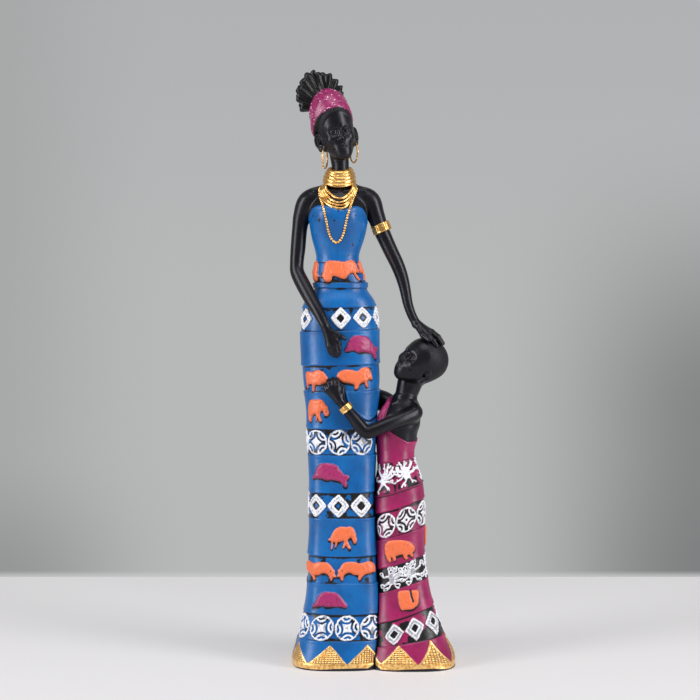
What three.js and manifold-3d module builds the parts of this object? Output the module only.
// Painted resin figure of a mother with a child at her side, in millimetres.
// +Z is up, the front faces -Y, and the origin is the middle of the flat underside.
import * as THREE from 'three';
import { mergeVertices } from 'three/addons/utils/BufferGeometryUtils.js';
import Module from 'manifold-3d';

const wasm = await Module();
wasm.setup();

// The whole height, foot to tip of the hair. Every table and size below is drawn for
// DRAWN_HEIGHT, and the finished bodies are brought from it to HEIGHT, pose and all.
const DRAWN_HEIGHT = 335.8;
const HEIGHT = 335.8;

// Sizes that several parts share.
const MOTHER_COLUMNS = 16;
const CHILD_COLUMNS = 14;
const RING_SAMPLES = 200;
const BAND_PROUD = 0.7; // a plain wrap stands this far off the rows with motifs
const LIP_PROUD = 1.2; // the rolled lip under the belt
const HEM_PROUD = 0.9; // the gold roll at the foot
const HEM_TOP = 3.4;
const HEM_ROW_PROUD = 0.5;
const PEPLUM_PROUD = 0.6;
const RELIEF = 1.0; // a motif stands this far off its row
const TOOTH_RELIEF = 0.3;
const MARGIN = 0.25; // the least plain ground left above and below a motif
const BEND = Math.PI / 6; // radians of surface turn between a motif's bend lines
const HIDDEN = 1.0; // a motif is left out when its middle is this deep in the other body
const BACK = 0.1; // the plainer back starts at this share of the half depth behind the middle
const WIRE = 0.5; // radius of the earring wire
const HOOP = 5.6; // radius of an earring, to the middle of its wire
const LOBE_HOLE = WIRE + 0.4;
const STRAND = 0.75;
const BEAD = 0.85;

// Body sections from the foot up: height, middle x, half width, middle y, half depth, squareness.
const MOTHER_ROWS = [
  [0, -19.5, 25.6, 0, 26.0, 3.0],
  [2.2, -19.8, 25.7, 0, 26.4, 3.0],
  [6.2, -19.4, 25.3, 0, 26.0, 3.1],
  [11.4, -18.7, 24.4, 0, 24.8, 3.2],
  [18.9, -18.1, 23.3, 0, 23.2, 3.4],
  [26.3, -17.6, 22.2, 0, 21.8, 3.6],
  [34.9, -17.2, 21.0, 0, 20.6, 3.8],
  [44.1, -17.0, 20.2, 0, 19.8, 4.0],
  [59.5, -17.4, 19.5, 0, 19.0, 4.0],
  [75.0, -17.5, 18.4, 0, 18.2, 4.0],
  [89.2, -17.7, 18.4, 0, 18.0, 4.0],
  [103.5, -17.7, 18.1, 0.5, 17.6, 4.0],
  [117.1, -17.7, 18.6, 1, 17.6, 3.8],
  [131.9, -17.7, 19.6, 1.5, 18.0, 3.5],
  [143.3, -17.8, 19.6, 2, 17.8, 3.2],
  [160.3, -18.1, 21.6, 2.5, 18.4, 2.9],
  [175.0, -18.8, 21.7, 3, 18.4, 2.7],
  [188.6, -19.1, 21.8, 3, 18.0, 2.6],
  [201.0, -19.2, 20.5, 2, 16.0, 2.5],
  [205.6, -18.9, 18.7, 1.6, 14.8, 2.4],
  [211.2, -18.5, 14.5, 1, 12.0, 2.3],
  [216.0, -18.9, 14.4, 0.6, 11.2, 2.2],
  [219.7, -19.5, 14.0, 0.3, 10.8, 2.1],
  [224.7, -20.1, 12.5, 0, 9.9, 2.1],
  [229.2, -20.3, 11.6, 0, 9.4, 2.1],
  [232.6, -20.3, 12.1, 0, 9.6, 2.1],
  [239.4, -20.0, 14.1, -0.3, 10.4, 2.1],
  [246.1, -19.8, 15.5, -0.6, 11.2, 2.1],
  [252.9, -20.0, 16.0, -0.6, 11.4, 2.1],
  [259.1, -20.0, 15.6, 0, 10.4, 2.1],
  [263.5, -19.6, 13.6, 0.8, 8.8, 2.0],
  [267.0, -19.2, 10.0, 1.2, 7.2, 2.0],
  [270.5, -18.9, 6.6, 1.4, 6.0, 2.0],
  [275.0, -18.6, 4.9, 1.6, 4.9, 2.0],
  [292.0, -18.9, 4.7, 1.6, 4.9, 2.0],
];
const CHILD_ROWS = [
  [0, 21.0, 24.8, -3, 24.8, 3.0],
  [5.5, 20.8, 24.2, -3, 24.2, 3.0],
  [9.5, 20.4, 22.8, -3, 23.0, 3.0],
  [15.3, 19.4, 20.7, -3, 21.0, 3.0],
  [23.9, 18.4, 19.2, -3, 19.2, 3.0],
  [32.4, 17.3, 16.9, -2.6, 17.4, 3.0],
  [41.0, 16.4, 15.2, -2.4, 16.2, 3.0],
  [52.4, 15.4, 14.4, -2.2, 15.6, 2.9],
  [63.9, 14.8, 13.6, -2, 14.8, 2.8],
  [75.3, 14.6, 13.6, -2, 14.8, 2.7],
  [86.6, 14.4, 14.2, -2, 15.0, 2.6],
  [95.2, 14.3, 13.8, -2, 14.6, 2.5],
  [103.7, 14.0, 12.9, -2, 14.2, 2.5],
  [110.5, 13.4, 11.2, -2, 13.4, 2.4],
  [116.2, 12.6, 10.2, -2, 12.4, 2.4],
  [120.7, 12.4, 10.2, -2, 11.8, 2.3],
  [125.9, 13.0, 11.1, -2, 11.8, 2.3],
  [130.4, 13.6, 11.2, -2, 12.0, 2.3],
  [134.9, 14.6, 11.6, -2, 12.2, 2.3],
  [141.2, 15.4, 11.2, -2, 11.0, 2.2],
  [146.3, 17.0, 9.2, -2, 8.2, 2.1],
  [150.5, 17.6, 6.4, -2, 6.0, 2.0],
  [162.0, 20.0, 6.2, -2, 5.8, 2.0],
];

// Wraps from the foot up: bottom, top, how far proud, and the extra heights of a curved one.
const MOTHER_WRAPS = [
  [0, HEM_TOP, HEM_PROUD, [1.2]],
  [HEM_TOP, 16.2, HEM_ROW_PROUD, []],
  [16.2, 30.5, 0, []],
  [30.5, 47.7, BAND_PROUD, []],
  [47.7, 62.7, 0, []],
  [62.7, 84.0, BAND_PROUD, []],
  [84.0, 98.0, 0, []],
  [98.0, 119.2, BAND_PROUD, []],
  [119.2, 133.7, 0, []],
  [133.7, 154.8, BAND_PROUD, []],
  [154.8, 169.3, 0, []],
  [169.3, 188.6, BAND_PROUD, []],
  [188.6, 201.4, 0, []],
  [201.4, 212.4, PEPLUM_PROUD, [206, 209.5]],
  [212.4, 215.5, LIP_PROUD, [214]],
  [215.5, 226.5, 0, []],
];
const CHILD_WRAPS = [
  [0, HEM_TOP, HEM_PROUD, [1.2]],
  [HEM_TOP, 14.1, HEM_ROW_PROUD, []],
  [14.1, 28.3, 0, []],
  [28.3, 44.9, BAND_PROUD, []],
  [44.9, 58.2, 0, []],
  [58.2, 74.3, BAND_PROUD, []],
  [74.3, 89.7, 0, []],
  [89.7, 99.5, BAND_PROUD, []],
  [99.5, 115.5, 0, []],
];
// Above its wraps each body is one smooth loft through these heights.
const MOTHER_UPPER = [229.5, 233.5, 238, 243, 247.5, 251, 254, 257, 261, 265, 269, 274, 291];
const CHILD_UPPER = [119.5, 125, 132, 138, 142, 146, 151, 160];

// A body is its sections, its wraps and the way its wraps lean: slope and the x they turn about.
const mother = {
  rows: MOTHER_ROWS,
  wraps: MOTHER_WRAPS,
  leanX: -19,
  lean: (t) => 0.03 * ramp(t, 120, 170) * (1 - ramp(t, 200, 216)),
  bust: [[-28.2, 252.6], [-12.6, 252.6]],
};
const child = {
  rows: CHILD_ROWS,
  wraps: CHILD_WRAPS,
  leanX: 14.1,
  lean: (t) => 0.32 * ramp(t, 8, 20) * (1 - ramp(t, 108, 124)),
  bust: [],
};
const BUST_OUT = 3.4;
const BUST_SPREAD = 5.2;

// Motif outlines in millimetres, x along the wrap and y up, about the motif's middle.
const LION = [
  [-9.4, 1.8], [-7.0, 4.4], [1.8, 3.9], [5.2, 5.6], [8.8, 4.0], [9.8, -0.8], [7.6, -1.2],
  [6.6, -5.6], [4.0, -2.0], [0.4, -2.4], [-1.8, -5.8], [-3.2, -2.4], [-6.4, -2.4], [-8.6, -5.8],
];
const ELEPHANT = [
  [-7.4, -0.4], [-5.6, 4.2], [-1.0, 5.6], [4.4, 5.4], [6.8, 3.2], [7.4, -3.8], [5.2, -0.8],
  [3.4, -6.2], [0.2, -2.4], [-3.8, -2.8], [-6.0, -6.2],
];
const RHINO = [
  [11.2, -3.2], [9.4, 1.4], [7.0, 4.4], [-2.0, 4.2], [-8.6, 4.4], [-11.2, 1.4], [-10.4, -1.2],
  [-4.6, -1.2], [-1.6, -4.8], [-0.4, -1.0], [5.8, -1.6], [8.2, -5.0],
];
const ARMADILLO = [
  [-9.6, -4.0], [-7.6, 1.4], [-4.2, 4.8], [0.6, 5.4], [4.6, 3.0], [9.6, -2.4], [7.6, -6.0],
  [4.4, -3.2], [-2.0, -2.4],
];
const HIPPO = [
  [-8.4, -1.0], [-6.4, 3.6], [-1.6, 5.0], [4.0, 4.2], [8.4, 1.2], [8.0, -1.2], [4.6, -1.4],
  [2.6, -4.2], [-1.6, -2.6], [-4.2, -6.0], [-7.4, -5.0],
];
const CURLED = [
  [-5.2, 3.8], [0.8, 4.2], [2.0, -0.4], [3.2, -0.4], [2.8, 5.2], [5.8, 5.4], [5.0, -0.6],
  [1.6, -5.0], [-4.4, -6.0],
];
const DISC_SIDES = 8;
const DIAMOND_HOLE = 0.34;

// Rows of motifs on a body: outline, height, x of the first at the front, pitch, then a scale pair.
const MOTHER_ALL_ROUND = [
  { shape: 'diamond', t: 195.6, x: -18.8, pitch: 12.2, half: [5.4, 6.0] },
  { shape: 'disc', t: 126.4, x: -19.1, pitch: 12.9, half: [6.9, 7.2] },
  { shape: 'diamond', t: 91.0, x: -19.4, pitch: 12.6, half: [5.6, 6.4] },
  { shape: 'disc', t: 23.3, x: -15.5, pitch: 13.9, half: [6.6, 6.9] },
];
const CHILD_ALL_ROUND = [
  { shape: 'tree', t: 107.4, x: 18.5, pitch: 12.9, half: [6.6, 7.2] },
  { shape: 'disc', t: 82.0, x: 18.0, pitch: 12.9, half: [6.5, 7.0] },
  { shape: 'tree', t: 51.5, x: 21.9, pitch: 12.4, half: [6.4, 6.2] },
  { shape: 'diamond', t: 20.6, x: 22.6, pitch: 12.4, half: [5.6, 6.0] },
];
// Single animals: outline, way along the wrap from the front's middle, height, facing.
const MOTHER_ANIMALS = [
  [LION, 0.9, 221.2, 1],
  [ARMADILLO, 12.8, 179.4, 1],
  [LION, -14.4, 161.8, 1], [LION, 7.8, 162.2, 1],
  [ELEPHANT, -13.4, 144.4, 1],
  [ARMADILLO, -6.2, 108.8, 1],
  [ELEPHANT, 0.2, 73.2, 1],
  [RHINO, -15.4, 55.2, -1], [RHINO, 8.2, 55.4, 1],
  [ARMADILLO, -7.0, 38.8, 1],
];
const CHILD_ANIMALS = [[HIPPO, -0.2, 65.8, 1], [CURLED, 2.8, 36.2, 1]];
const HEM_TEETH = { apex: 14.2, valley: 3.8 };

// Heads: middle, up, front, then sections by height: half width, front reach, back reach.
const MOTHER_HEAD = {
  at: [-20.4, -0.8, 299.6],
  up: [-0.203, 0, 0.979],
  front: [0.2, -0.97, 0.04],
  rows: [
    [-14.9, 2.2, 8.4, -4.4], [-13.4, 4.3, 9.6, -0.8], [-11, 5.8, 9.5, 3.2], [-9, 6.8, 9.3, 5.8],
    [-7.2, 7.5, 9.2, 7.4], [-5.2, 8.1, 9.2, 8.8], [-3, 8.7, 9.1, 10.0], [0, 9.2, 9.0, 11.2],
    [3, 9.6, 9.4, 12.2], [7, 10.0, 9.5, 13.0], [12, 10.2, 8.8, 13.4], [16.5, 9.2, 6.8, 12.4],
    [20.4, 6.6, 3.4, 9.8], [22.8, 3.2, -0.2, 6.0],
  ],
  face: [
    [0, -3.2, 1.3, 3.0, 1.5], [0, -5.4, 1.9, 1.2, 1.2], [-3.8, 0.2, 2.2, 1.6, -1.2],
    [3.8, 0.2, 2.2, 1.6, -1.2], [0, -9.0, 2.8, 1.5, 1.3], [0, -13.2, 3.0, 1.6, 0.7],
  ],
};
const CHILD_HEAD = {
  at: [28.8, -4.0, 171.3],
  up: [0.63, 0, 0.777],
  front: [-0.64, -0.57, 0.52],
  rows: [
    [-17.8, 2.0, 11.6, -3.4], [-16.2, 4.4, 13.0, 0.2], [-13.4, 6.4, 13.8, 4.4],
    [-11, 7.8, 13.8, 7.2], [-8.6, 8.9, 13.4, 9.8], [-6, 9.8, 13.2, 11.2], [-3, 10.8, 13.2, 12.2],
    [1, 11.6, 13.6, 12.6], [5, 11.6, 12.8, 12.4], [8.6, 10.4, 10.8, 11.0], [11.4, 7.8, 7.2, 8.2],
    [13.2, 3.8, 2.6, 4.0],
  ],
  face: [
    [0, -6.8, 1.5, 2.4, 1.0], [0, -9.2, 2.0, 1.2, 1.4], [-4.4, -4.2, 2.4, 1.7, -1.2],
    [4.4, -4.2, 2.4, 1.7, -1.2], [0, -13.0, 3.2, 1.6, 1.3], [0, -16.6, 3.2, 1.6, 0.7],
  ],
};
const HEAD_COLUMNS = 14;

// Limbs as spines: x, y, z, radius.
const ARM_SIDES = 7;
const MOTHER_RIGHT_ARM = [
  [-23, 2, 263.0, 6.0], [-31, 1.6, 263.4, 6.4], [-37.0, 1.2, 260.6, 6.1],
  [-40.4, 1, 253.0, 4.7], [-41.6, 0.8, 246.4, 4.1], [-42.6, 0.4, 235.0, 4.2],
  [-43.4, -0.6, 226.0, 4.0], [-43.1, -2, 221.4, 4.1], [-39.9, -5.4, 214.8, 4.1],
  [-35.2, -10, 206.3, 3.9], [-30.6, -14.2, 198.4, 3.5], [-27.2, -16.6, 191.6, 3.2],
];
const MOTHER_LEFT_ARM = [
  [-16, 2, 263.0, 6.0], [-8.4, 1.6, 263.6, 6.4], [-2.2, 1.2, 261.6, 6.1], [1.0, 1, 254.0, 5.2],
  [3.6, 1, 246.7, 4.6], [6.4, 1, 240.4, 4.2], [9.7, 0, 233.2, 4.0], [13.2, -1, 225.9, 3.9],
  [15.8, -1.4, 219.1, 3.6], [17.6, -2, 212.3, 3.2], [19.3, -3, 203.6, 2.8],
  [21.3, -3.6, 197.6, 2.6], [23.6, -4, 193.0, 2.6],
];
const CHILD_LEFT_ARM = [
  [17, -6, 143.6, 4.4], [23.0, -9.4, 142.6, 4.5], [17, -14.0, 140.0, 4.2], [8.6, -17.6, 137.0, 4.0],
  [0.4, -19.6, 133.8, 3.9], [-4.2, -20.0, 132.6, 3.9], [-7.4, -20.0, 135.6, 3.7],
  [-11.8, -19.8, 141.2, 3.3], [-16.2, -19.4, 146.6, 2.9], [-18.4, -19.2, 149.4, 2.8],
];
const CHILD_RIGHT_ARM = [
  [17, 4, 143, 4.2], [12.4, 8.2, 145, 4.6], [6, 12.4, 147.2, 6.0], [-1.6, 16.4, 149.6, 5.6],
  [-8.6, 19.6, 152.8, 3.9], [-13.6, 20.8, 156.0, 2.6],
];

function ramp(v, from, to) {
  const s = Math.min(1, Math.max(0, (v - from) / (to - from)));
  return s * s * (3 - 2 * s);
}

function vec(p) {
  return new THREE.Vector3(p[0], p[1], p[2]);
}

// A smooth value of one column of a table at height z.
function valueAt(rows, z, c) {
  const last = rows.length - 1;
  let i = 0;
  while (i < last - 1 && z > rows[i + 1][0]) i += 1;
  const slope = (k) => {
    const a = rows[Math.max(0, k - 1)];
    const b = rows[Math.min(last, k + 1)];
    return (b[c] - a[c]) / (b[0] - a[0]);
  };
  const [a, b] = [rows[i], rows[i + 1]];
  const h = b[0] - a[0];
  const u = Math.min(1, Math.max(0, (z - a[0]) / h));
  const u2 = u * u;
  const u3 = u2 * u;
  return (2 * u3 - 3 * u2 + 1) * a[c] + (u3 - 2 * u2 + u) * h * slope(i)
    + (3 * u2 - 2 * u3) * b[c] + (u3 - u2) * h * slope(i + 1);
}

function signedPower(v, e) {
  return Math.sign(v) * Math.abs(v) ** e;
}

// The point of a body's skin at an angle and height, pushed out by proud.
function sectionPoint(body, angle, z, proud) {
  const [cx, hx, cy, hy, n] = [1, 2, 3, 4, 5].map((c) => valueAt(body.rows, z, c));
  const x = cx + (hx + proud) * signedPower(Math.cos(angle), 2 / n);
  let y = cy + (hy + proud) * signedPower(Math.sin(angle), 2 / n);
  if (y < cy) {
    for (const [bx, bz] of body.bust) {
      const far = ((x - bx) ** 2 + (z - bz) ** 2) / (2 * BUST_SPREAD ** 2);
      y -= BUST_OUT * Math.exp(-far);
    }
  }
  return new THREE.Vector3(x, y, z);
}

// The same point on a wrap line that leans: t is the line's height at leanX.
function leaningPoint(body, angle, t, proud) {
  const slope = body.lean(t);
  let p = sectionPoint(body, angle, t, proud);
  for (let k = 0; k < 4 && slope > 0; k += 1) {
    p = sectionPoint(body, angle, t + slope * (p.x - body.leanX), proud);
  }
  return p;
}

// A dense ring at wrap height t from the front's middle round by +x, with lengths and turns.
function denseRing(body, t, proud) {
  const points = [];
  for (let k = 0; k <= RING_SAMPLES; k += 1) {
    points.push(leaningPoint(body, -Math.PI / 2 + (2 * Math.PI * k) / RING_SAMPLES, t, proud));
  }
  const length = [0];
  const turn = [0];
  for (let k = 1; k <= RING_SAMPLES; k += 1) {
    length.push(length[k - 1] + points[k].distanceTo(points[k - 1]));
    const before = points[k - 1].clone().sub(points[k > 1 ? k - 2 : RING_SAMPLES - 1]);
    const after = points[k].clone().sub(points[k - 1]);
    const cross = before.x * after.y - before.y * after.x;
    const dot = before.x * after.x + before.y * after.y;
    turn.push(turn[k - 1] + Math.max(0, Math.atan2(cross, dot)));
  }
  return { points, length, turn };
}

const ringStore = new Map();
function storedRing(body, t) {
  const key = `${body.leanX} ${t.toFixed(3)}`;
  if (!ringStore.has(key)) ringStore.set(key, denseRing(body, t, 0));
  return ringStore.get(key);
}

// The skin point a way s along the wrap from the front's middle, pushed out by proud.
function skinPoint(body, s, t, proud) {
  const { points, length } = storedRing(body, t);
  const round = length[RING_SAMPLES];
  const way = ((s % round) + round) % round;
  let k = 1;
  while (length[k] < way) k += 1;
  const u = (way - length[k - 1]) / (length[k] - length[k - 1] || 1);
  const along = points[k].clone().sub(points[k - 1]);
  const out = new THREE.Vector3(along.y, -along.x, 0).normalize();
  return points[k - 1].clone().addScaledVector(along, u).addScaledVector(out, proud);
}

// The share of the way round at which each column of a plain ring stands.
function columnShares(body, t, columns) {
  const { length, turn } = storedRing(body, t);
  const weight = (k) => 0.45 * (length[k] / length[RING_SAMPLES])
    + 0.55 * (turn[k] / turn[RING_SAMPLES]);
  const shares = [];
  let k = 1;
  for (let c = 0; c < columns; c += 1) {
    const wanted = c / columns;
    while (weight(k) < wanted) k += 1;
    const u = (wanted - weight(k - 1)) / (weight(k) - weight(k - 1) || 1);
    shares.push((length[k - 1] + u * (length[k] - length[k - 1])) / length[RING_SAMPLES]);
  }
  return shares;
}

// A closed solid through rings of equal count, counter-clockwise seen from the end.
function ringSolid(rings) {
  const n = rings[0].length;
  const position = [];
  const index = [];
  for (const p of rings.flat()) position.push(p.x, p.y, p.z);
  for (let i = 0; i + 1 < rings.length; i += 1) {
    for (let j = 0; j < n; j += 1) {
      const a = i * n + j;
      const b = i * n + ((j + 1) % n);
      index.push(a, b, b + n, a, b + n, a + n);
    }
  }
  const cap = (ring, base, flip) => {
    const middle = new THREE.Vector3();
    for (const p of ring) middle.addScaledVector(p, 1 / n);
    const at = position.length / 3;
    position.push(middle.x, middle.y, middle.z);
    for (let j = 0; j < n; j += 1) {
      const k = (j + 1) % n;
      index.push(at, flip ? base + k : base + j, flip ? base + j : base + k);
    }
  };
  cap(rings[0], 0, true);
  cap(rings[rings.length - 1], (rings.length - 1) * n, false);
  return solid(position, index);
}

function solid(position, index) {
  const geometry = new THREE.BufferGeometry();
  geometry.setAttribute('position', new THREE.Float32BufferAttribute(position, 3));
  geometry.setIndex(index);
  return geometrySolid(geometry);
}

function geometrySolid(geometry) {
  const bare = geometry.clone();
  bare.deleteAttribute('normal');
  bare.deleteAttribute('uv');
  const merged = mergeVertices(bare, 1e-4);
  const made = new wasm.Manifold(new wasm.Mesh({
    numProp: 3,
    vertProperties: new Float32Array(merged.attributes.position.array),
    triVerts: new Uint32Array(merged.index.array),
  }));
  if (made.volume() < 0) throw new Error('a solid is inside out');
  return made;
}

// A tube along a spine of [x, y, z, radius across, radius through]; flat is the through direction.
// Its polygon is as large as the round section it stands for.
function tube(spine, sides, flat) {
  const fit = Math.sqrt((2 * Math.PI) / (sides * Math.sin((2 * Math.PI) / sides)));
  const middles = spine.map(vec);
  const rings = spine.map((row, i) => {
    const before = middles[Math.max(0, i - 1)];
    const after = middles[Math.min(middles.length - 1, i + 1)];
    const along = after.clone().sub(before).normalize();
    const through = vec(flat).addScaledVector(along, -vec(flat).dot(along)).normalize();
    const across = through.clone().cross(along);
    const ring = [];
    for (let k = 0; k < sides; k += 1) {
      const angle = (2 * Math.PI * (k + 0.5)) / sides;
      ring.push(middles[i].clone()
        .addScaledVector(across, fit * row[3] * Math.cos(angle))
        .addScaledVector(through, fit * (row[4] ?? row[3]) * Math.sin(angle)));
    }
    return ring;
  });
  return ringSolid(rings);
}

function ringLength(body, t) {
  return storedRing(body, t).length[RING_SAMPLES];
}

// Ways along the wrap at which the skin has turned by one more bend.
function bendLines(body, t) {
  const { length, turn } = storedRing(body, t);
  const lines = [];
  for (let k = 1; k <= RING_SAMPLES; k += 1) {
    if (Math.floor(turn[k] / BEND) > Math.floor(turn[k - 1] / BEND)) lines.push(length[k]);
  }
  return lines;
}

// The bend lines that fall between two ways, clear of both ends.
function linesBetween(lines, round, from, to) {
  const inside = [];
  for (const lap of [-2, -1, 0, 1, 2]) {
    for (const line of lines) {
      const s = line + lap * round;
      if (s > from + 0.7 && s < to - 0.7) inside.push(s);
    }
  }
  return inside.sort((a, b) => a - b);
}

function flatFaces(outline, holes) {
  const contour = outline.map(([x, y]) => new THREE.Vector2(x, y));
  const inner = holes.map((hole) => hole.map(([x, y]) => new THREE.Vector2(x, y)));
  const flat = [...contour, ...inner.flat()];
  return THREE.ShapeUtils.triangulateShape(contour, inner).map((face) => {
    const points = face.map((k) => flat[k]);
    return THREE.ShapeUtils.area(points) < 0 ? points.reverse() : points;
  });
}

// A triangle cut along upright lines, as smaller triangles.
function cutFace(face, lines) {
  let pieces = [face];
  for (const x of lines) {
    pieces = pieces.flatMap((piece) => {
      const keep = (side) => {
        const kept = [];
        piece.forEach((p, k) => {
          const q = piece[(k + 1) % piece.length];
          const [dp, dq] = [side * (p.x - x), side * (q.x - x)];
          if (dp >= 0) kept.push(p);
          if (dp * dq < 0) kept.push(crossing(p, q, x));
        });
        return kept;
      };
      return [keep(-1), keep(1)].filter((part) => part.length > 2 && spread(part) > 1e-6);
    });
  }
  return pieces.flatMap((piece) => piece.slice(1, -1).map((p, k) => [piece[0], p, piece[k + 2]]));
}

function crossing(p, q, x) {
  const [a, b] = p.x < q.x ? [p, q] : [q, p];
  return new THREE.Vector2(x, a.y + ((b.y - a.y) * (x - a.x)) / (b.x - a.x));
}

function spread(part) {
  return Math.max(...part.map((p) => p.x)) - Math.min(...part.map((p) => p.x));
}

// Directed edges of a face list that no other face shares.
function openEdges(faces) {
  const key = (p) => `${p.x.toFixed(5)} ${p.y.toFixed(5)}`;
  const edges = new Map();
  for (const face of faces) {
    face.forEach((p, k) => {
      const q = face[(k + 1) % 3];
      edges.set(`${key(p)} ${key(q)}`, [p, q]);
    });
  }
  return [...edges.values()].filter(([p, q]) => !edges.has(`${key(q)} ${key(p)}`));
}

// A rim is a ring of corners, each with its share of the way round.
function plainRim(body, t, proud, shares) {
  return shares.map((share) => ({
    share,
    at: skinPoint(body, share * ringLength(body, t), t, proud).toArray(),
  }));
}

// The faces between two rims, taken a corner at a time on whichever side lags.
function zip(lower, upper, position) {
  let [i, j] = [0, 0];
  while (i < lower.length || j < upper.length) {
    const [a, b] = [lower[i % lower.length].at, upper[j % upper.length].at];
    const nextLower = i < lower.length ? (lower[i + 1]?.share ?? 1) : 2;
    const nextUpper = j < upper.length ? (upper[j + 1]?.share ?? 1) : 2;
    if (nextLower <= nextUpper) {
      i += 1;
      position.push(...a, ...lower[i % lower.length].at, ...b);
    } else {
      j += 1;
      position.push(...a, ...upper[j % upper.length].at, ...b);
    }
  }
}

function capRim(rim, up, position) {
  const middle = [0, 1, 2].map((c) => rim.reduce((sum, p) => sum + p.at[c], 0) / rim.length);
  rim.forEach((p, k) => {
    const q = rim[(k + 1) % rim.length];
    position.push(...middle, ...(up ? p : q).at, ...(up ? q : p).at);
  });
}

// One row with motifs: plain lengths, and cells that each hold a raised motif. Gives its rims.
function motifRow(body, bottom, top, proud, motifs, position) {
  const middle = (bottom + top) / 2;
  const round = ringLength(body, middle);
  const place = (p, out) => skinPoint(
    body,
    (p.x * ringLength(body, p.y)) / round,
    p.y,
    proud + out,
  ).toArray();
  const lines = bendLines(body, middle);
  const rims = [new Map(), new Map()];
  const note = (rim, p) => {
    const share = (((p.x / round) % 1) + 1) % 1;
    rim.set((share > 1 - 1e-6 ? 0 : share).toFixed(6), { share, at: place(p, 0) });
  };
  const put = (faces, out) => {
    for (const p of faces.flat()) {
      position.push(...place(p, out));
      if (p.y === bottom) note(rims[0], p);
      if (p.y === top) note(rims[1], p);
    }
  };
  const cells = motifs.map((m) => {
    const grow = round / m.round;
    const wide = (list) => list && list.map(([x, y]) => [x * grow, y]);
    const s = (((m.s % m.round) + m.round) % m.round) * grow;
    return { ...m, s, width: m.width * grow, outline: wide(m.outline), hole: wide(m.hole) };
  }).sort((a, b) => a.s - b.s);
  const start = cells[0].s - cells[0].width;
  let at = start;
  const plainTo = (to) => {
    const stops = [at, ...linesBetween(lines, round, at, to), to];
    for (let k = 0; k + 1 < stops.length; k += 1) {
      put(flatFaces(rectangle(stops[k], stops[k + 1], bottom, top), []), 0);
    }
    at = to;
  };
  for (const cell of cells) {
    const [from, to] = [Math.max(at, cell.s - cell.width), cell.s + cell.width];
    if (from - at > 0.05) plainTo(from);
    const inner = linesBetween(lines, round, at, to);
    const inside = (y) => Math.min(top - MARGIN, Math.max(bottom + MARGIN, cell.t + y));
    const shift = (list) => list.map(([x, y]) => [cell.s + x, inside(y)]);
    const cut = (faces) => faces.flatMap((face) => cutFace(face, inner));
    const outline = shift(cell.outline);
    const hole = cell.hole ? [shift(cell.hole)] : [];
    const raised = cut(flatFaces(outline, hole));
    put(cut(flatFaces(rectangle(at, to, bottom, top), [outline])), 0);
    put(cut(hole.flatMap((h) => flatFaces(h, []))), 0);
    put(raised, cell.relief);
    for (const [p, q] of openEdges(raised)) {
      position.push(...place(q, cell.relief), ...place(p, cell.relief), ...place(p, 0));
      position.push(...place(q, cell.relief), ...place(p, 0), ...place(q, 0));
    }
    at = to;
  }
  if (start + round - at > 0.001) plainTo(start + round);
  return rims.map((rim) => [...rim.values()].sort((a, b) => a.share - b.share));
}

function rectangle(from, to, bottom, top) {
  return [[from, bottom], [to, bottom], [to, top], [from, top]];
}

// A whole body from its foot to its neck, as one closed solid.
function bodySolid(body, motifs, upper, columns) {
  const position = [];
  let rim = plainRim(body, 0, HEM_PROUD, columnShares(body, 0, columns));
  capRim(rim, false, position);
  for (const [bottom, top, proud, extra] of body.wraps) {
    const held = motifs.filter((m) => m.t + 1 > bottom && m.t + 1 < top);
    if (held.length) {
      const rims = motifRow(body, bottom, top, proud, held, position);
      zip(rim, rims[0], position);
      rim = rims[1];
      continue;
    }
    const shares = columnShares(body, top, columns);
    for (const t of [...(bottom > 0 ? [bottom] : []), ...extra, top]) {
      const next = plainRim(body, t, proud, shares);
      zip(rim, next, position);
      rim = next;
    }
  }
  const shares = columnShares(body, upper[0], columns);
  for (const t of upper) {
    const next = plainRim(body, t, 0, shares);
    zip(rim, next, position);
    rim = next;
  }
  capRim(rim, true, position);
  const geometry = new THREE.BufferGeometry();
  geometry.setAttribute('position', new THREE.Float32BufferAttribute(position, 3));
  return geometrySolid(geometry);
}

function discOutline([a, b]) {
  return Array.from({ length: DISC_SIDES }, (_, k) => {
    const angle = (2 * Math.PI * (k + 0.5)) / DISC_SIDES;
    return [a * Math.cos(angle), b * Math.sin(angle)];
  });
}

function diamondOutline([a, b], share) {
  return [[a * share, 0], [0, b * share], [-a * share, 0], [0, -b * share]];
}

// A stubby branching tree: two forks above, two roots below.
function treeOutline([a, b]) {
  const half = [[0, 0.4], [0.42, 1], [0.42, 0.35], [1, 0.35], [0.45, -0.2], [0.85, -0.9]];
  const right = half.map(([x, y]) => [a * x, b * y]);
  const left = half.slice(1).map(([x, y]) => [-a * x, b * y]);
  return [[0, -0.4 * b], ...right.reverse(), ...left];
}

function shapeOutline(row) {
  if (row.shape === 'disc') return [discOutline(row.half), null];
  if (row.shape === 'tree') return [treeOutline(row.half), null];
  return [diamondOutline(row.half, 1), diamondOutline(row.half, DIAMOND_HOLE).reverse()];
}

// True when a point lies deep inside a body.
function buried(body, p) {
  const [cx, hx, cy, hy, n] = [1, 2, 3, 4, 5].map((c) => valueAt(body.rows, p.z, c));
  const across = Math.abs(p.x - cx) / (hx - HIDDEN);
  const through = Math.abs(p.y - cy) / (hy - HIDDEN);
  return across ** n + through ** n < 1;
}

// True for a place inside the other body or on the plainer back.
function unseen(body, other, p) {
  const behind = p.y > valueAt(body.rows, p.z, 3) + BACK * valueAt(body.rows, p.z, 4);
  return behind || buried(other, p);
}

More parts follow.
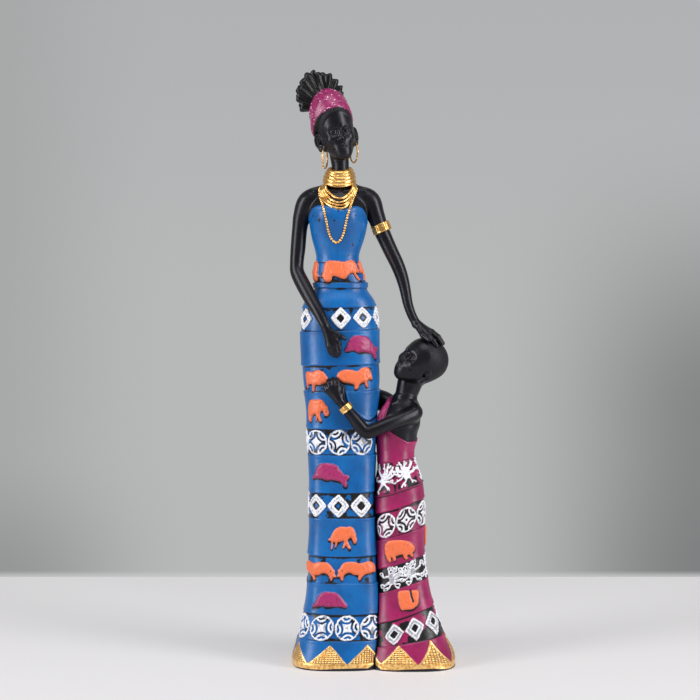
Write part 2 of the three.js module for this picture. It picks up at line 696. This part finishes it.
function frontWay(body, x, t) {
  const { points, length } = storedRing(body, t);
  const half = RING_SAMPLES / 2;
  const step = x >= points[0].x ? 1 : -1;
  let k = 0;
  while (Math.abs(k) < half && step * (points[(k + RING_SAMPLES) % RING_SAMPLES].x - x) < 0) {
    k += step;
  }
  return k >= 0 ? length[k] : length[k + RING_SAMPLES] - length[RING_SAMPLES];
}

// Evenly spaced cells of one motif round a body, kept off the back and off what is covered.
function allRound(body, other, row) {
  const round = ringLength(body, row.t);
  const count = Math.round(round / row.pitch);
  const first = frontWay(body, row.x, row.t);
  const [outline, hole] = shapeOutline(row);
  const width = round / count / 2;
  const fit = Math.min(1, (width * 0.985) / row.half[0]);
  const narrow = (list) => list.map(([x, y]) => [x * fit, y]);
  return Array.from({ length: count }, (_, k) => first + (k * round) / count)
    .filter((s) => !unseen(body, other, skinPoint(body, s, row.t, 0)))
    .map((s) => ({
      s, round, t: row.t, width, relief: RELIEF, outline: narrow(outline), hole: hole && narrow(hole),
    }));
}

function animals(body, list) {
  return list.map(([outline, s, t, facing]) => ({
    s,
    round: ringLength(body, t),
    t,
    width: Math.max(...outline.map(([x]) => Math.abs(x))) + 0.4,
    relief: RELIEF,
    outline: outline.map(([x, y]) => [x * facing, y]),
    hole: null,
  }));
}

// The gold teeth that rise from the roll at the foot.
function hemTeeth(body, other, x, pitch) {
  const { apex, valley } = HEM_TEETH;
  const base = HEM_TOP + MARGIN;
  const round = ringLength(body, (HEM_TOP + valley) / 2);
  const count = Math.round(round / pitch);
  const width = round / count / 2;
  const first = frontWay(body, x, valley);
  const half = width * 0.985;
  const outline = [[-half, 0], [half, 0], [0.7, apex - base], [-0.7, apex - base]];
  return Array.from({ length: count }, (_, k) => first + 2 * width * k)
    .filter((s) => !buried(other, skinPoint(body, s, valley, 0)))
    .map((s) => ({ s, round, t: base, width, relief: TOOTH_RELIEF, outline, hole: null }));
}

function motherDress() {
  return bodySolid(mother, [
    ...MOTHER_ALL_ROUND.flatMap((row) => allRound(mother, child, row)),
    ...animals(mother, MOTHER_ANIMALS),
    ...hemTeeth(mother, child, -25.5, 22.6),
  ], MOTHER_UPPER, MOTHER_COLUMNS);
}

function childDress() {
  return bodySolid(child, [
    ...CHILD_ALL_ROUND.flatMap((row) => allRound(child, mother, row)),
    ...animals(child, CHILD_ANIMALS),
    ...hemTeeth(child, mother, 34.5, 20.6),
  ], CHILD_UPPER, CHILD_COLUMNS);
}

// A frame of right, up and front for a head.
function headFrame(head) {
  const up = vec(head.up).normalize();
  const front = vec(head.front);
  front.addScaledVector(up, -front.dot(up)).normalize();
  return { at: vec(head.at), up, front, right: up.clone().cross(front) };
}

function fromHead(frame, right, front, up) {
  return frame.at.clone()
    .addScaledVector(frame.right, right)
    .addScaledVector(frame.front, front)
    .addScaledVector(frame.up, up);
}

// Skull and face: sections with the columns gathered to the front, and gentle features added.
function headSolid(head) {
  const frame = headFrame(head);
  const rings = head.rows.map(([u, half, reach, back]) => {
    const middle = (reach - back) / 2;
    const depth = (reach + back) / 2;
    const ring = [];
    for (let k = 0; k < HEAD_COLUMNS; k += 1) {
      const turn = (2 * Math.PI * k) / HEAD_COLUMNS;
      const angle = turn - 0.42 * Math.sin(turn);
      const r = half * Math.sin(angle);
      let f = middle + depth * Math.cos(angle);
      if (f > middle) f += features(head.face, r, u);
      ring.push(fromHead(frame, r, f, u));
    }
    return ring;
  });
  return ringSolid(rings);
}

function features(face, r, u) {
  let out = 0;
  for (const [r0, u0, wide, tall, by] of face) {
    out += by * Math.exp(-(((r - r0) / wide) ** 2) - (((u - u0) / tall) ** 2));
  }
  return out;
}

function ellipsoid(frame, middle, radii, sides, stacks) {
  const ball = new THREE.SphereGeometry(1, sides, stacks);
  const at = fromHead(frame, ...middle);
  const turn = new THREE.Matrix4().makeBasis(
    frame.right.clone().multiplyScalar(radii[0]),
    frame.up.clone().multiplyScalar(radii[2]),
    frame.front.clone().multiplyScalar(radii[1]),
  ).setPosition(at);
  return geometrySolid(ball.applyMatrix4(turn));
}

const EAR = { right: 9.5, front: -1.4, up: -2.6, radii: [1.9, 2.3, 4.0] };
const LOBE = { out: [8.7, 8.4], front: -0.6, up: -7.2, radii: [2.2, 1.1, 2.5] };
// Each hoop hangs in the upright plane that holds this direction.
const HOOP_WAYS = { right: [-0.24, -0.971, 0], left: [0.37, -0.929, 0] };

function lobeOut(side) {
  return side * LOBE.out[side < 0 ? 0 : 1];
}

function lobeMiddle(side) {
  return fromHead(headFrame(MOTHER_HEAD), lobeOut(side), LOBE.front, LOBE.up);
}

function motherEars() {
  const frame = headFrame(MOTHER_HEAD);
  return [-1, 1].flatMap((side) => [
    ellipsoid(frame, [side * EAR.right, EAR.front, EAR.up], EAR.radii, 6, 4),
    ellipsoid(frame, [lobeOut(side), LOBE.front, LOBE.up], LOBE.radii, 6, 4),
  ]);
}

function lobeHole(side, way) {
  const drill = new THREE.CylinderGeometry(LOBE_HOLE, LOBE_HOLE, 7, 6);
  const turn = new THREE.Quaternion().setFromUnitVectors(new THREE.Vector3(0, 1, 0), vec(way));
  drill.applyQuaternion(turn);
  const at = lobeMiddle(side);
  drill.translate(at.x, at.y, at.z);
  return geometrySolid(drill);
}

function childEars() {
  const frame = headFrame(CHILD_HEAD);
  return [-1, 1].map((side) => ellipsoid(frame, [side * 10.4, 0.6, -7.4], [1.9, 2.4, 3.4], 6, 4));
}

// The head wrap: a slightly larger skull cut between two slanting planes.
const WRAP_SKULL = {
  at: [-21.8, -1.1, 299.3],
  up: MOTHER_HEAD.up,
  front: MOTHER_HEAD.front,
  rows: [
    [-6, 9.6, 8.5, 11.6], [-2, 10.6, 9.4, 12.8], [3, 11.4, 10.0, 13.8], [9, 12.0, 10.2, 14.6],
    [14, 11.8, 9.6, 14.6], [18.5, 10.2, 7.8, 13.4], [22, 7.6, 5.0, 10.4], [24.8, 3.6, 1.0, 6.0],
  ],
  face: [],
};
const WRAP_DEPTH = 17.5;
const WRAP_SLANT = 48;
const WRAP_MIDDLE = [0, -1.2, 15.6];
function headWrap() {
  const frame = headFrame(MOTHER_HEAD);
  const slab = new THREE.BoxGeometry(40, WRAP_DEPTH, 60);
  slab.rotateX(THREE.MathUtils.degToRad(WRAP_SLANT));
  const turn = new THREE.Matrix4().makeBasis(
    frame.right,
    frame.front.clone().negate(),
    frame.up,
  ).setPosition(fromHead(frame, ...WRAP_MIDDLE));
  slab.applyMatrix4(turn);
  return headSolid(WRAP_SKULL).intersect(geometrySolid(slab));
}

// Locks of hair fanned from one root behind the wrap: the tips, and a radius for each.
const HAIR_ROOT = [-26.0, 6.5, 313.5];
const LOCKS = [
  [-40.8, 9, 314.2, 3.8], [-43.8, 7, 323.6, 3.4], [-39.8, 6, 331.6, 3.2], [-34.6, 5, 335.4, 2.6],
  [-28.6, 6, 333.8, 3.2], [-22.6, 7, 332.6, 3.2], [-17.2, 9, 326.0, 3.0],
  [-35.6, 15, 325.2, 4.2], [-25.8, 16, 325.6, 4.4], [-30.6, 18, 318.6, 4.0],
];
function hair() {
  const root = vec(HAIR_ROOT);
  return LOCKS.map(([x, y, z, r]) => {
    const tip = new THREE.Vector3(x, y, z);
    const at = (u) => root.clone().lerp(tip, u).toArray();
    const spine = [[...at(0.2), r * 0.8], [...at(0.85), r], [...at(1), r * 0.45]];
    return tube(spine, 5, [0, 1, 0]);
  });
}

// A hand as a flattened mitt of four closed fingers, with its thumb.
function hand(mitt, thumb, flat) {
  return [tube(mitt, 6, flat), tube(thumb, 4, flat)];
}

function hands() {
  return [
    hand([
      [-27.6, -16.4, 192.2, 3.1, 2.9], [-25.6, -17.4, 188.0, 3.6, 2.5],
      [-23.5, -17.8, 182.4, 4.0, 2.1], [-21.7, -18.0, 176.4, 3.3, 1.7],
      [-20.9, -18.0, 174.2, 1.6, 1.1],
    ], [[-24.6, -17.6, 189.8, 1.7], [-20.6, -18.4, 187.2, 1.6], [-15.9, -18.4, 184.2, 1.1]],
    [0.35, -0.9, 0.1]),
    hand([
      [23.2, -4, 193.6, 2.6, 2.6], [26.6, -4.2, 190.0, 3.2, 2.3], [31.4, -4.4, 187.0, 4.2, 2.0],
      [36.2, -4.6, 184.2, 4.8, 1.7], [39.4, -5.0, 180.6, 4.2, 1.2],
    ], [[26.4, -6.0, 188.8, 1.7], [30.4, -10.4, 185.0, 1.6], [34.8, -13.0, 180.4, 1.1]],
    [0.55, 0, 0.83]),
    hand([
      [-17.6, -19.2, 148.6, 2.8, 2.6], [-20.6, -19.0, 152.4, 3.7, 2.1],
      [-22.8, -18.6, 155.4, 4.6, 1.9], [-24.6, -18.2, 159.0, 4.2, 1.6],
      [-25.2, -18.0, 161.0, 2.6, 1.1],
    ], [[-18.8, -19.2, 151.6, 1.6], [-17.0, -19.0, 155.6, 1.5], [-17.4, -18.8, 159.0, 1.1]],
    [0, -1, 0]),
    hand([
      [-11.6, 20.6, 155.6, 2.8, 2.4], [-15.0, 21.2, 157.6, 3.7, 2.0],
      [-18.4, 21.4, 159.6, 4.2, 1.8], [-22.6, 21.0, 162.2, 3.4, 1.4],
    ], [[-13.8, 21.2, 158.4, 1.5], [-14.6, 21.4, 162.4, 1.4], [-16.0, 21.4, 165.2, 1.1]],
    [0, 1, 0]),
  ].flat();
}

function arms() {
  return [MOTHER_RIGHT_ARM, MOTHER_LEFT_ARM, CHILD_LEFT_ARM, CHILD_RIGHT_ARM]
    .map((spine) => tube(spine, ARM_SIDES, [0.2, -1, 0]));
}

// The stacked neck rings, widening downwards.
const COLLAR = { top: 280.2, bottom: 268.4, rings: 3, ridge: 0.45 };
function collar() {
  const rings = [];
  const steps = COLLAR.rings * 2;
  for (let k = steps; k >= 0; k -= 1) {
    const u = k / steps;
    const wave = k % 2 ? COLLAR.ridge : -COLLAR.ridge;
    const spread = Math.min(1, 1.35 * u ** 1.15);
    const [hx, hy] = [5.5 + 5.2 * spread + wave, 5.4 + 3.8 * spread + wave];
    const z = COLLAR.top + (COLLAR.bottom - COLLAR.top) * u;
    rings.push(Array.from({ length: 12 }, (_, j) => {
      const angle = (2 * Math.PI * j) / 12;
      const [x, y] = [hx * Math.cos(angle), hy * Math.sin(angle)];
      return new THREE.Vector3(-18.6 - 0.9 * u + x, 1.2 - 1.2 * u + y, z + 0.08 * u * y);
    }));
  }
  return ringSolid(rings);
}

// The mother's chest at x and z, as the y of its skin.
function chestY(x, z) {
  const [cx, hx, cy, hy, n] = [1, 2, 3, 4, 5].map((c) => valueAt(MOTHER_ROWS, z, c));
  const off = Math.min(0.97, Math.abs(x - cx) / hx);
  let y = cy - hy * (1 - off ** n) ** (1 / n);
  for (const [bx, bz] of mother.bust) {
    y -= BUST_OUT * Math.exp(-((x - bx) ** 2 + (z - bz) ** 2) / (2 * BUST_SPREAD ** 2));
  }
  return y;
}

// A cord of cast metal colour that hangs from the collar's sides to a low point.
function strand(left, right, low, lowX, radius, sharp) {
  const steps = 5;
  const spine = [];
  for (let k = 0; k <= steps; k += 1) {
    const u = k / steps;
    const sag = Math.sin(Math.PI * u) ** sharp;
    const level = left[1] + (right[1] - left[1]) * u;
    const z = level - (level - low) * sag;
    const straight = left[0] + (right[0] - left[0]) * u;
    const x = straight + (lowX - (left[0] + right[0]) / 2) * sag;
    const y = Math.min(chestY(x, z), z > 262 ? -5 + 4 * (z - 262) / 8 : 0);
    spine.push([x, y - radius * 0.1, z, radius]);
  }
  return tube(spine, 3, [0, -1, 0.1]);
}

function necklaces() {
  return [
    collar(),
    tube([[-29.0, -3.6, 265.4, 1.5], [-26.0, -1.0, 268.6, 1.7]], 5, [0, -1, 0.1]),
    tube([[-9.6, -3.6, 265.4, 1.5], [-12.6, -1.0, 268.6, 1.7]], 5, [0, -1, 0.1]),
    strand([-27.6, 269.4], [-10.8, 269.4], 262.2, -18.6, STRAND, 0.9),
    strand([-28.6, 269.0], [-10.0, 269.0], 259.2, -18.6, STRAND, 0.9),
    strand([-29.2, 268.6], [-9.6, 268.6], 256.8, -18.6, STRAND, 0.9),
    strand([-29.8, 268.6], [-8.8, 268.6], 237.4, -20.2, BEAD, 1.1),
  ];
}

// A short cuff round an arm.
function cuff(middle, way, radius, height) {
  const axis = vec(way).normalize();
  const at = vec(middle);
  const spine = [-0.5, -0.32, 0.32, 0.5].map((u) => [
    ...at.clone().addScaledVector(axis, u * height).toArray(),
    Math.abs(u) > 0.4 ? radius - 0.4 : radius,
  ]);
  return tube(spine, 8, [0.2, -1, 0]);
}

function cuffs() {
  return [
    cuff([4.3, 1, 246.0], [0.4, 0, -1], 5.3, 5.4),
    cuff([-14.8, -19.5, 145.0], [-0.63, 0.04, 0.77], 3.9, 3.8),
  ];
}

function figure() {
  const parts = [
    motherDress(),
    childDress(),
    headSolid(MOTHER_HEAD),
    headSolid(CHILD_HEAD),
    headWrap(),
    ...motherEars(),
    ...childEars(),
    ...hair(),
    ...arms(),
    ...hands(),
    ...necklaces(),
    ...cuffs(),
  ];
  let joined = parts[0];
  for (const part of parts.slice(1)) joined = joined.add(part);
  for (const [side, way] of [[-1, HOOP_WAYS.right], [1, HOOP_WAYS.left]]) {
    joined = joined.subtract(lobeHole(side, way));
  }
  return joined;
}

// A wire hoop that hangs upright through its lobe.
function hoop(side, way) {
  const ring = new THREE.TorusGeometry(HOOP, WIRE, 5, 14);
  const along = vec(way).normalize();
  const upright = new THREE.Vector3(0, 0, 1);
  const turn = new THREE.Matrix4().makeBasis(along, upright, along.clone().cross(upright));
  ring.applyMatrix4(turn);
  const at = lobeMiddle(side);
  ring.translate(at.x, at.y, at.z - HOOP);
  return geometrySolid(ring);
}

function toGeometry(made) {
  const mesh = made.getMesh();
  const position = [];
  for (const v of mesh.triVerts) {
    const at = v * mesh.numProp;
    position.push(...mesh.vertProperties.slice(at, at + 3));
  }
  const grow = HEIGHT / DRAWN_HEIGHT;
  const geometry = new THREE.BufferGeometry();
  geometry.setAttribute('position', new THREE.Float32BufferAttribute(position, 3));
  geometry.scale(grow, grow, grow);
  geometry.computeVertexNormals();
  return geometry;
}

function named(name, made, colour, roughness, metalness) {
  const material = new THREE.MeshStandardMaterial({ color: colour, roughness, metalness });
  const mesh = new THREE.Mesh(toGeometry(made), material);
  mesh.name = name;
  return mesh;
}

const group = new THREE.Group();
group.add(named('figure', figure(), 0x1c5fa8, 0.45, 0));
group.add(named('earring_right', hoop(-1, HOOP_WAYS.right), 0xcf9a45, 0.3, 0.9));
group.add(named('earring_left', hoop(1, HOOP_WAYS.left), 0xcf9a45, 0.3, 0.9));

export default group;
